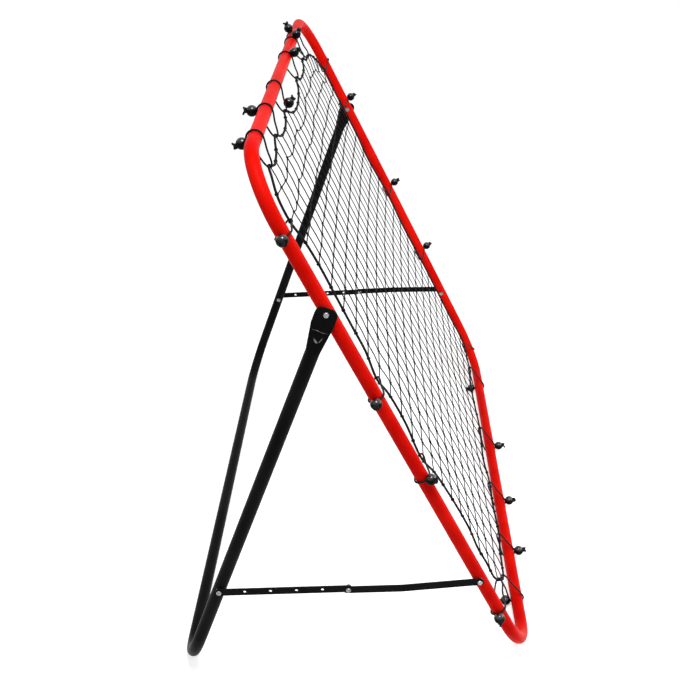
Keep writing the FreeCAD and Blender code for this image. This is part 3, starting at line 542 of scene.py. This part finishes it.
slotMaterials = {
    "red_powder_coat": redCoat,
    "black_powder_coat": blackCoat,
    "zinc_fastener": brightZinc,
    "net_twine": netTwine,
    "border_rope": borderBraid,
    "elastic_cord": elasticBraid,
    "ball": blackBall,
}
for part in record["subparts"]:
    node = frame["nodes"][part["node"]]
    for slotPlace in node.material_slots:
        slotPlace.material = slotMaterials[part["material_slot"]]
print("materials given to the frame")

# Points (y, s) round the border, from the near bottom corner up that side and on round the net.
borderSpec = {
    "left": [
        (-0.510, 0.112), (-0.529, 0.140), (-0.530, 0.178), (-0.526, 0.218), (-0.515, 0.257),
        (-0.511, 0.300), (-0.515, 0.360), (-0.534, 0.422), (-0.563, 0.490), (-0.542, 0.550),
        (-0.535, 0.590), (-0.542, 0.627), (-0.565, 0.672), (-0.542, 0.718), (-0.530, 0.768),
        (-0.526, 0.830), (-0.526, 0.893), (-0.538, 0.952), (-0.552, 0.995), (-0.541, 1.035),
        (-0.515, 1.064),
    ],
    "top": [
        (-0.483, 1.074), (-0.462, 1.066), (-0.420, 1.064), (-0.385, 1.068), (-0.358, 1.077),
        (-0.329, 1.082), (-0.312, 1.074), (-0.276, 1.065), (-0.230, 1.064), (-0.186, 1.070),
        (-0.152, 1.080), (-0.125, 1.068), (-0.075, 1.053), (-0.015, 1.047), (0.045, 1.050),
        (0.092, 1.060), (0.143, 1.076), (0.165, 1.065), (0.232, 1.059), (0.300, 1.064),
        (0.337, 1.075), (0.368, 1.063), (0.419, 1.062), (0.465, 1.055),
    ],
    "right": [
        (0.505, 1.038), (0.540, 1.012), (0.564, 0.985), (0.556, 0.930), (0.568, 0.876),
        (0.553, 0.800), (0.547, 0.735), (0.552, 0.670), (0.568, 0.600), (0.555, 0.530),
        (0.550, 0.450), (0.568, 0.384), (0.553, 0.310), (0.547, 0.220), (0.552, 0.150),
        (0.553, 0.100),
    ],
    "bottom": [
        (0.544, 0.082), (0.515, 0.078), (0.470, 0.078), (0.434, 0.066), (0.350, 0.080),
        (0.270, 0.086), (0.190, 0.080), (0.118, 0.064), (0.040, 0.074), (-0.040, 0.074),
        (-0.118, 0.060), (-0.200, 0.064), (-0.271, 0.060), (-0.310, 0.056), (-0.365, 0.064),
        (-0.417, 0.068), (-0.466, 0.077),
    ],
    "radius": 0.00225, "sides": 10, "step": 0.006,
    "wobble": 0.0015,
}
netSpec = {
    "firstAcross": -0.480, "across": 0.050, "acrossCount": 21,
    "firstUp": 0.1145, "upLow": 0.044, "upHigh": 0.0485, "upCount": 21,
    "edge": (-0.530, 0.570, 0.0705, 1.086),
    "pull": 0.10, "sag": 0.008, "jitter": 0.0014,
    "slack": 0.004, "slackUp": 0.35, "slackAcross": 0.5, "looseFrom": 0.8, "looseOver": 0.25,
    "hang": (0.2, 1.0), "layer": 0.7,
    "radius": 0.00115, "sides": 5, "step": 0.016,
    "knot": 0.0021, "knotTilt": 0.5, "edgeKnot": 0.0031, "edgeTilt": 1,
}
knotSpec = {  # in shares of the knot's size
    "long": 1.25, "flat": 0.85,
    "turns": 2, "steps": 12, "spread": 0.9, "out": 0.95, "twine": 0.34, "sides": 4,
}


def borderLine():
    corners = borderSpec["left"] + borderSpec["top"] + borderSpec["right"] + borderSpec["bottom"]
    points = [Vector((y, s, rng.uniform(-1, 1) * borderSpec["wobble"])) for y, s in corners]
    return smoothLine(points, borderSpec["step"], closed=True)


border = borderLine()


def borderAt(value, axis, wantHigh):
    # where the border crosses y = value (axis 0) or s = value (axis 1), on its high or low side
    other = 1 - axis
    found = []
    for index, point in enumerate(border):
        after = border[(index + 1) % len(border)]
        if (point[axis] - value) * (after[axis] - value) <= 0 and point[axis] != after[axis]:
            share = (value - point[axis]) / (after[axis] - point[axis])
            found.append(point.lerp(after, share))
    return max(found, key=lambda p: p[other]) if wantHigh else min(found, key=lambda p: p[other])


def makeBorder():
    mesh = bmesh.new()
    line = [onNet(*point) for point in border]
    addTube(mesh, line, borderSpec["radius"], borderSpec["sides"], closed=True)
    finishPiece("braided_border", mesh, borderBraid, "border_rope", "frame", "net_border_rope")


makeBorder()
print("border laid")


def rowHeight(index):
    last = netSpec["upCount"] - 1
    grow = (netSpec["upHigh"] - netSpec["upLow"]) / (2 * last)
    return netSpec["firstUp"] + netSpec["upLow"] * index + grow * index * index


def warped(y, s):
    # the regular mesh, drawn towards the border where the bungees pull it
    left, right = borderAt(s, 1, False), borderAt(s, 1, True)
    low, high = borderAt(y, 0, False), borderAt(y, 0, True)
    edge = netSpec["edge"]
    pull = netSpec["pull"]

    def draw(shift, distance):
        return shift * math.exp(-distance / pull)

    newY = y + draw(left.x - edge[0], y - edge[0]) + draw(right.x - edge[1], edge[1] - y)
    newS = s + draw(low.y - edge[2], s - edge[2]) + draw(high.y - edge[3], edge[3] - s)
    middleY, middleS = (edge[0] + edge[1]) / 2, (edge[2] + edge[3]) / 2
    shareY = (newY - middleY) / (middleY - edge[0])
    shareS = (newS - middleS) / (middleS - edge[2])
    hollow = (1 - shareY**2) * (1 - shareS**2)
    jitter = netSpec["jitter"]
    newY += rng.uniform(-jitter, jitter)
    newS += rng.uniform(-jitter, jitter)
    return Vector((newY, newS, -netSpec["sag"] * max(hollow, 0)))


def addKnot(mesh, place, size, lead):
    # a small tied knot: a lump with turns of twine round it
    side = frameFront.cross(lead).normalized()
    ball = bmesh.ops.create_icosphere(mesh, subdivisions=1, radius=size)
    axes = Matrix((lead * knotSpec["long"], side, frameFront * knotSpec["flat"]))
    axes = axes.transposed().to_4x4()
    bmesh.ops.transform(mesh, matrix=Matrix.Translation(place) @ axes, verts=ball["verts"])
    for face in {face for vert in ball["verts"] for face in vert.link_faces}:
        face.smooth = True
    turns = []
    steps = knotSpec["steps"]
    for index in range(steps + 1):
        angle = 2 * math.pi * knotSpec["turns"] * index / steps
        spoke = side * math.cos(angle) + frameFront * math.sin(angle)
        along = knotSpec["spread"] * (index / steps - 0.5)
        turns.append(place + lead * size * along + spoke * size * knotSpec["out"])
    addTube(mesh, turns, size * knotSpec["twine"], knotSpec["sides"])


def makeNet():
    spec = netSpec
    columns = [spec["firstAcross"] + spec["across"] * index for index in range(spec["acrossCount"])]
    rows = [rowHeight(index) for index in range(spec["upCount"])]
    knots = [[warped(y, s) for s in rows] for y in columns]
    mesh = bmesh.new()
    layer = Vector((0, 0, spec["radius"] * spec["layer"]))
    ends = []
    for column, y in enumerate(columns):
        line = [borderAt(y, 0, False)] + knots[column] + [borderAt(y, 0, True)]
        ends += [line[0], line[-1]]
        addStrand(mesh, line, layer, spec["slackUp"])
    for row, s in enumerate(rows):
        across = [column[row] for column in knots]
        line = [borderAt(s, 1, False)] + across + [borderAt(s, 1, True)]
        ends += [line[0], line[-1]]
        looser = max(0.0, (s - spec["looseFrom"]) / spec["looseOver"])
        addStrand(mesh, line, -layer, spec["slackAcross"] + looser)
    for column in knots:
        for place in column:
            tilt = frameUp + frameAcross * rng.uniform(-spec["knotTilt"], spec["knotTilt"])
            addKnot(mesh, onNet(*place), spec["knot"], tilt.normalized())
    for place in ends:
        tilt = frameUp + frameAcross * rng.uniform(-spec["edgeTilt"], spec["edgeTilt"])
        addKnot(mesh, onNet(*place), spec["edgeKnot"], tilt.normalized())
    finishPiece("knotted_net", mesh, netTwine, "net_twine", "frame", "net")


def addStrand(mesh, line, layer, slack):
    # the twine hangs a little between knots
    points = [line[0]]
    for before, after in zip(line, line[1:]):
        loose = netSpec["slack"] * slack * rng.uniform(*netSpec["hang"])
        side = Vector((before.y - after.y, after.x - before.x, 0)).normalized()
        down = -1 if side.y > 0 else 1
        points.append((before + after) / 2 + side * down * loose + layer)
        points.append(after)
    line = smoothLine([onNet(*point) for point in points], netSpec["step"])
    addTube(mesh, line, netSpec["radius"], netSpec["sides"])


makeNet()
print("net knotted")

# Painted highlights on each leg's flat end: a grey line along the crease at its foot and a grey V
# on the rims of the hollow below it, standing in for the light they catch, as (across, drop) on the
# outer wall. The lengths are the frame's own.
creaseHighlightMarks = {
    "washer": 0.0018, "reach": 0.85912, "flatBelow": 0.020, "flatThick": 0.0026, "crush": 0.045,
    "lines": [
        [(-0.0135, 0.0090), (-0.005, 0.0100), (0.006, 0.0090), (0.0140, 0.0096)],
        [(-0.0070, 0.0165), (-0.0054, 0.0215), (-0.0018, 0.0262)],
        [(-0.0012, 0.0266), (0.0028, 0.0246), (0.0064, 0.0206)],
    ],
    "widths": (0.0006, 0.0012, 0.0017), "lift": 0.00012, "step": 0.001, "taper": 0.35,
    "uneven": (0.8, 1.1),
}


def legWall(side):
    # the leg's outer wall as a function of (across, drop), in the frame's coordinates
    spec = creaseHighlightMarks
    radius, half = frameSpec["tubeRadius"], frameSpec["halfWidth"]
    legUp = Vector((math.sin(lean), 0, math.cos(lean)))
    legOut = 2 * radius + spec["washer"]
    toe = math.atan(legOut / spec["reach"])
    outward = frameAcross * side
    down = -(legUp * math.cos(toe) - outward * math.sin(toe))
    out = outward * math.cos(toe) + legUp * math.sin(toe)
    aside = out.cross(-down)
    seat = pivotPlace + outward * (half + legOut - radius / math.cos(toe))
    rise = (2 * radius - spec["flatThick"]) / spec["crush"]

    def place(across, drop):
        level = spec["flatThick"] + rise * drop + spec["lift"]
        return seat + aside * across + out * level + down * (spec["flatBelow"] + drop)

    return place, (out - down * rise).normalized()


def makeCreaseHighlights(name, side):
    mesh = bmesh.new()
    place, out = legWall(side)
    for points, width in zip(creaseHighlightMarks["lines"], creaseHighlightMarks["widths"]):
        line = smoothLine([place(*point) for point in points], creaseHighlightMarks["step"])
        rows = []
        for index, point in enumerate(line):
            ahead = (line[min(index + 1, len(line) - 1)] - line[max(index - 1, 0)]).normalized()
            share = math.sin(math.pi * index / (len(line) - 1))
            wide = creaseHighlightMarks["taper"] + (1 - creaseHighlightMarks["taper"]) * share
            beside = out.cross(ahead) * width * wide * rng.uniform(*creaseHighlightMarks["uneven"])
            rows.append([mesh.verts.new(point - beside), mesh.verts.new(point + beside)])
        for (a, b), (c, d) in zip(rows, rows[1:]):
            mesh.faces.new((a, b, d, c))
    finishPiece(name, mesh, paintedCreaseHighlight, "black_powder_coat", "rear_leg")


makeCreaseHighlights("left_leg_crease_highlights", -1)
makeCreaseHighlights("right_leg_crease_highlights", 1)
print("crease highlights painted")

# Each loop: its place along the tube, its ball's turn from the outer side towards the front,
# and the point (y, s) of the border that it holds.
bungeeSpec = {
    "cord": 0.00175, "sides": 10, "gap": 0.0003, "step": 0.003,
    "tubeSteps": 8, "ropeSteps": 3, "slant": -0.1,  # least share of the way to the net
    "hanging": (0.012, 0.0385), "hangingOut": (0.9, 0.4, 0.3),  # front, across, up
    "ball": 0.0105, "seat": 0.0004, "away": 0.0234, "ballSteps": 18, "ballSides": 28,
    "blunt": 0.97, "mouth": 0.0034, "lip": 0.0008, "sunk": 0.004,
    "lipShape": ((0, 1), (0.7, 1.4), (1.5, 1), (1.5, -2.5)),  # inwards and up, in lips
    "knot": {
        "cord": 0.0019, "ring": 0.0027, "lobe": 0.0013, "height": 0.0017, "rise": 0.0016,
        "steps": 40, "sides": 8,
        "tails": (0.005, 0.007), "sway": 0.7, "tailStep": 0.002,
        "tailShape": ((0.35, 0.4), (0.6, 1.0)),
    },
    "top": [
        (0.359, 0, (0.415, 1.062)), (0.295, 60, (0.337, 1.075)), (0.130, 85, (0.143, 1.076)),
        (-0.140, "hanging", (-0.152, 1.080)), (-0.315, -60, (-0.329, 1.082)),
        (-0.482, -85, (-0.483, 1.074)),
    ],
    "bottom": [
        (0.434, "back", (0.434, 0.066)), (0.118, 75, (0.118, 0.064)), (-0.118, 75, (-0.118, 0.060)),
        (-0.303, 75, (-0.306, 0.056)), (-0.452, "back", (-0.464, 0.077)),
    ],
    "left": [
        (1.001, 0, (-0.552, 0.995)), (0.673, 0, (-0.565, 0.672)), (0.489, 45, (-0.563, 0.490)),
        (0.147, 0, (-0.512, 0.114)),
    ],
    "right": [
        (0.995, 0, (0.564, 0.985)), (0.876, 60, (0.568, 0.876)), (0.605, 75, (0.568, 0.600)),
        (0.387, 70, (0.568, 0.384)), ("corner", -15, (0.549, 0.087)),
    ],
}
tubeSides = {
    "top": (onNet(0, frameSpec["length"]), frameAcross, -frameUp),
    "bottom": (onNet(0, 0), frameAcross, frameUp),
    "left": (onNet(-frameSpec["halfWidth"], 0), frameUp, frameAcross),
    "right": (onNet(frameSpec["halfWidth"], 0), frameUp, -frameAcross),
}


def groundTurn():
    # how far round the bottom tube a ball at the back sits when it just clears the floor
    rise = bungeeSpec["ball"] + bungeeSpec["seat"] - bottomMiddle.z
    return -(math.pi / 2 + math.asin(rise / bungeeSpec["away"])) - lean


def addLoop(mesh, axis, along, inward, hold):
    # the cord from the tube's outer side, past both of its sides and round the border
    reach = (hold - axis).dot(inward)
    shift = (hold - axis).dot(along)
    lift = (hold - axis).dot(frameFront)
    large = frameSpec["tubeRadius"] + bungeeSpec["gap"] + bungeeSpec["cord"]
    small = borderSpec["radius"] + bungeeSpec["cord"]
    wrap = math.acos((large - small) / reach)
    points = []

    def add(x, y):
        share = min(max(y / reach, bungeeSpec["slant"]), 1.0)
        point = axis + frameFront * (x + lift * max(share, 0))
        points.append(point + inward * y + along * (shift * share))

    halfWay = (large + small) / 2 * math.sin(wrap)
    steps = bungeeSpec["tubeSteps"]
    for index in range(-steps, steps + 1):
        angle = (math.pi - wrap) * index / steps
        add(large * math.sin(angle), -large * math.cos(angle))
    add(halfWay, reach / 2)
    steps = bungeeSpec["ropeSteps"]
    for index in range(-steps, steps + 1):
        angle = -wrap * index / steps
        add(small * math.sin(angle), reach + small * math.cos(angle))
    add(-halfWay, reach / 2)
    line = smoothLine(points, bungeeSpec["step"], closed=True)
    addTube(mesh, line, bungeeSpec["cord"], bungeeSpec["sides"], closed=True)


def addKnotOutside(cords, base, out):
    # the stopper knot outside a ball, with two cut tails
    spec = bungeeSpec["knot"]
    side = Matrix.Rotation(rng.uniform(0, 2 * math.pi), 3, out) @ out.orthogonal().normalized()
    other = out.cross(side)
    knot = []
    for index in range(spec["steps"]):
        angle = 2 * math.pi * index / spec["steps"]
        spread = spec["ring"] + spec["lobe"] * math.cos(3 * angle)
        flat = side * math.cos(2 * angle) + other * math.sin(2 * angle)
        knot.append(base + flat * spread + out * spec["height"] * math.sin(3 * angle))
    addTube(cords, knot, spec["cord"], spec["sides"], closed=True)
    for way in (-1, 1):
        length = rng.uniform(*spec["tails"])
        sway = side * way + other * rng.uniform(-spec["sway"], spec["sway"])
        points = [base]
        for ahead, aside in spec["tailShape"]:
            points.append(base + out * length * ahead + sway * length * aside)
        tail = smoothLine(points, spec["tailStep"])
        addTube(cords, tail, spec["cord"], spec["sides"], capped=False)


def addBall(balls, cords, centre, out):
    # the moulded ball with a lipped mouth for its cord
    radius, mouth, lip = bungeeSpec["ball"], bungeeSpec["mouth"], bungeeSpec["lip"]
    steps = bungeeSpec["ballSteps"]
    start = math.asin(mouth / radius)
    top = radius * math.cos(start)
    profile = [(0, -radius * bungeeSpec["blunt"])]
    for index in range(steps + 1):
        angle = math.pi - start - (math.pi - 2 * start) * index / steps
        profile.append((radius * math.sin(angle), radius * math.cos(angle)))
    for inwards, up in bungeeSpec["lipShape"]:
        profile.append((mouth - inwards * lip, top + up * lip))
    profile.append((0, profile[-1][1]))
    addRevolve(balls, centre, out, profile, bungeeSpec["ballSides"])
    sunk = centre + out * (top - bungeeSpec["sunk"])
    base = centre + out * (top + bungeeSpec["knot"]["rise"])
    addTube(cords, [sunk, base], bungeeSpec["cord"], bungeeSpec["knot"]["sides"])
    addKnotOutside(cords, base, out)


def cornerPlace():
    # half-way round the far bottom bend: the tube's axis, the way along it and the way to the net
    outward, bend = frameAcross, frameSpec["bend"]
    inward = (frameUp - outward).normalized()
    axis = onNet(frameSpec["halfWidth"] - bend, bend) - inward * bend
    return axis, (frameUp + outward).normalized(), inward


def makeBungees(name):
    cords = bmesh.new()
    balls = bmesh.new()
    for at, turn, hold in bungeeSpec[name]:
        origin, along, inward = tubeSides[name]
        if at == "corner":
            axis, along, inward = cornerPlace()
        else:
            axis = origin + along * at
        addLoop(cords, axis, along, inward, onNet(*hold))
        if turn == "hanging":
            ahead, down = bungeeSpec["hanging"]
            centre = axis + frameFront * ahead + inward * down
            front, across, up = bungeeSpec["hangingOut"]
            out = (frameFront * front + frameAcross * across + frameUp * up).normalized()
        else:
            angle = groundTurn() if turn == "back" else math.radians(turn)
            out = frameFront * math.sin(angle) - inward * math.cos(angle)
            centre = axis + out * bungeeSpec["away"]
        addBall(balls, cords, centre, out)
    loopNode, ballNode = name + "_bungee_loops", name + "_bungee_balls"
    finishPiece(name + "_elastic_loops", cords, elasticBraid, "elastic_cord", "frame", loopNode)
    finishPiece(name + "_stopper_balls", balls, blackBall, "ball", "frame", ballNode)


for sideName in tubeSides:
    makeBungees(sideName)
print("bungees looped")

studioSpec = {
    "floorSize": 60.0, "floorGap": 0.0002,
    "floorColour": (0.94, 0.94, 0.94, 1), "floorRough": 0.9, "floorGlow": 0.57,
    "worldLight": 0.32,
    "sun": {"from": Vector((0.7, 0.3, 1.0)), "strength": 0.45, "angle": math.radians(70)},
    "lamps": [  # name, place, target, diameter, power
        ("keyLamp", (0.3, -1.1, 3.0), (0, 0, 0.6), 1.0, 38),
        ("sideLamp", (-1.9, -2.2, 2.0), (0, 0, 0.6), 0.6, 2),
        ("frontLamp", (1.5, -0.1, 0.9), (0, 0.3, 0.5), 0.8, 8),
    ],
}


def seenByEye(tree):
    # 1 for the rays whose picture should show a white surround
    path = tree.nodes.new("ShaderNodeLightPath")
    camera, glossy = path.outputs["Is Camera Ray"], path.outputs["Is Glossy Ray"]
    either = calculate(tree, "MAXIMUM", camera, glossy)
    return calculate(tree, "MAXIMUM", either, path.outputs["Is Transmission Ray"])


def makeFloor(spec):
    mesh = bmesh.new()
    bmesh.ops.create_grid(mesh, x_segments=1, y_segments=1, size=spec["floorSize"] / 2)
    data = bpy.data.meshes.new("studioFloor")
    mesh.to_mesh(data)
    mesh.free()
    floor = bpy.data.objects.new("studioFloor", data)
    floor.location = (0, 0, cadBox[0][2] - spec["floorGap"])
    bpy.context.scene.collection.objects.link(floor)
    material, tree, shader = newMaterial("paleFloor")
    shader.inputs["Base Color"].default_value = spec["floorColour"]
    shader.inputs["Roughness"].default_value = spec["floorRough"]
    # lifted to white for the eye alone, so the shadow under the feet stays
    lift = calculate(tree, "MULTIPLY", seenByEye(tree), spec["floorGlow"])
    glow = addNode(tree, "ShaderNodeEmission", Color=(1, 1, 1, 1), Strength=lift)
    both = addNode(tree, "ShaderNodeAddShader", i0=shader.outputs[0], i1=glow.outputs[0])
    tree.links.new(both.outputs[0], tree.nodes["Material Output"].inputs["Surface"])
    data.materials.append(material)


def makeWorld(spec):
    world = bpy.data.worlds.new("studioWorld")
    world.use_nodes = True
    bpy.context.scene.world = world
    tree = world.node_tree
    shade = tree.nodes["Background"]
    shade.inputs["Color"].default_value = (1, 1, 1, 1)
    level = rescale(tree, seenByEye(tree), 0.0, 1.0, spec["worldLight"], 1.0)
    tree.links.new(level, shade.inputs["Strength"])


def makeLamps(spec):
    data = bpy.data.lights.new("ceilingLight", "SUN")
    data.energy = spec["sun"]["strength"]
    data.angle = spec["sun"]["angle"]
    sun = bpy.data.objects.new("ceilingLight", data)
    sun.rotation_euler = spec["sun"]["from"].to_track_quat("Z", "Y").to_euler()
    bpy.context.scene.collection.objects.link(sun)
    for name, place, target, size, power in spec["lamps"]:
        data = bpy.data.lights.new(name, "AREA")
        data.shape = "DISK"
        data.size = size
        data.energy = power
        lamp = bpy.data.objects.new(name, data)
        lamp.location = place
        lamp.rotation_euler = (Vector(place) - Vector(target)).to_track_quat("Z", "Y").to_euler()
        bpy.context.scene.collection.objects.link(lamp)


makeFloor(studioSpec)
makeWorld(studioSpec)
makeLamps(studioSpec)
bpy.context.scene.view_settings.view_transform = "Standard"
print("studio lit")
